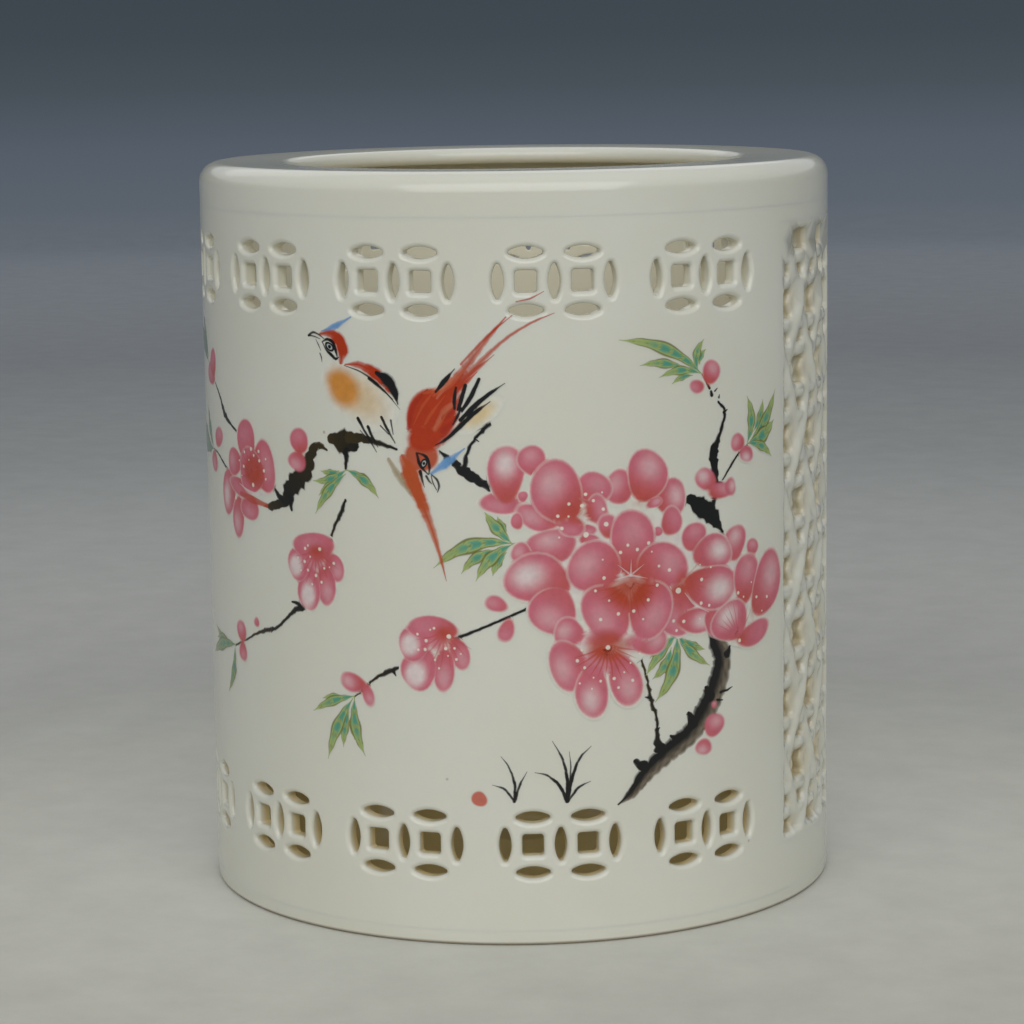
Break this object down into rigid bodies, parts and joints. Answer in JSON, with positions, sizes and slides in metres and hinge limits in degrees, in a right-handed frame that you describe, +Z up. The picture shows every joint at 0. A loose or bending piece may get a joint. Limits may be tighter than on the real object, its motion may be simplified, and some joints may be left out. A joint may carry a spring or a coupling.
{
  "type": "brush holder pot",
  "caption": "Cylindrical glazed porcelain brush pot with an in-turned rim, coin-pattern piercings, openwork lattice side panels and a painted bird-and-blossom wall.",
  "frame": {"origin": "centre of the foot, on the surface the pot stands on", "axes": "+Z up along the pot's axis; -Y is the middle of the painted front panel; +X and -X are the middles of the two lattice panels"},
  "size_m": [0.12, 0.12, 0.138],
  "materials": {
    "wall_glaze": "glossy cream porcelain glaze with painted enamels",
    "panel_glaze": "glossy cream porcelain glaze pooled between carved strips",
    "rim_glaze": "glossy cream porcelain glaze",
    "floor_glaze": "satin cream porcelain glaze",
    "bare_foot": "matt unglazed biscuit"
  },
  "bodies": {
    "root": {"wall_cylinder": "wall_glaze", "lattice_panel_right": "panel_glaze", "lattice_panel_left": "panel_glaze", "rim_collar": "rim_glaze", "floor_disc": "floor_glaze", "foot_ring": "bare_foot"}
  },
  "joints": []
}
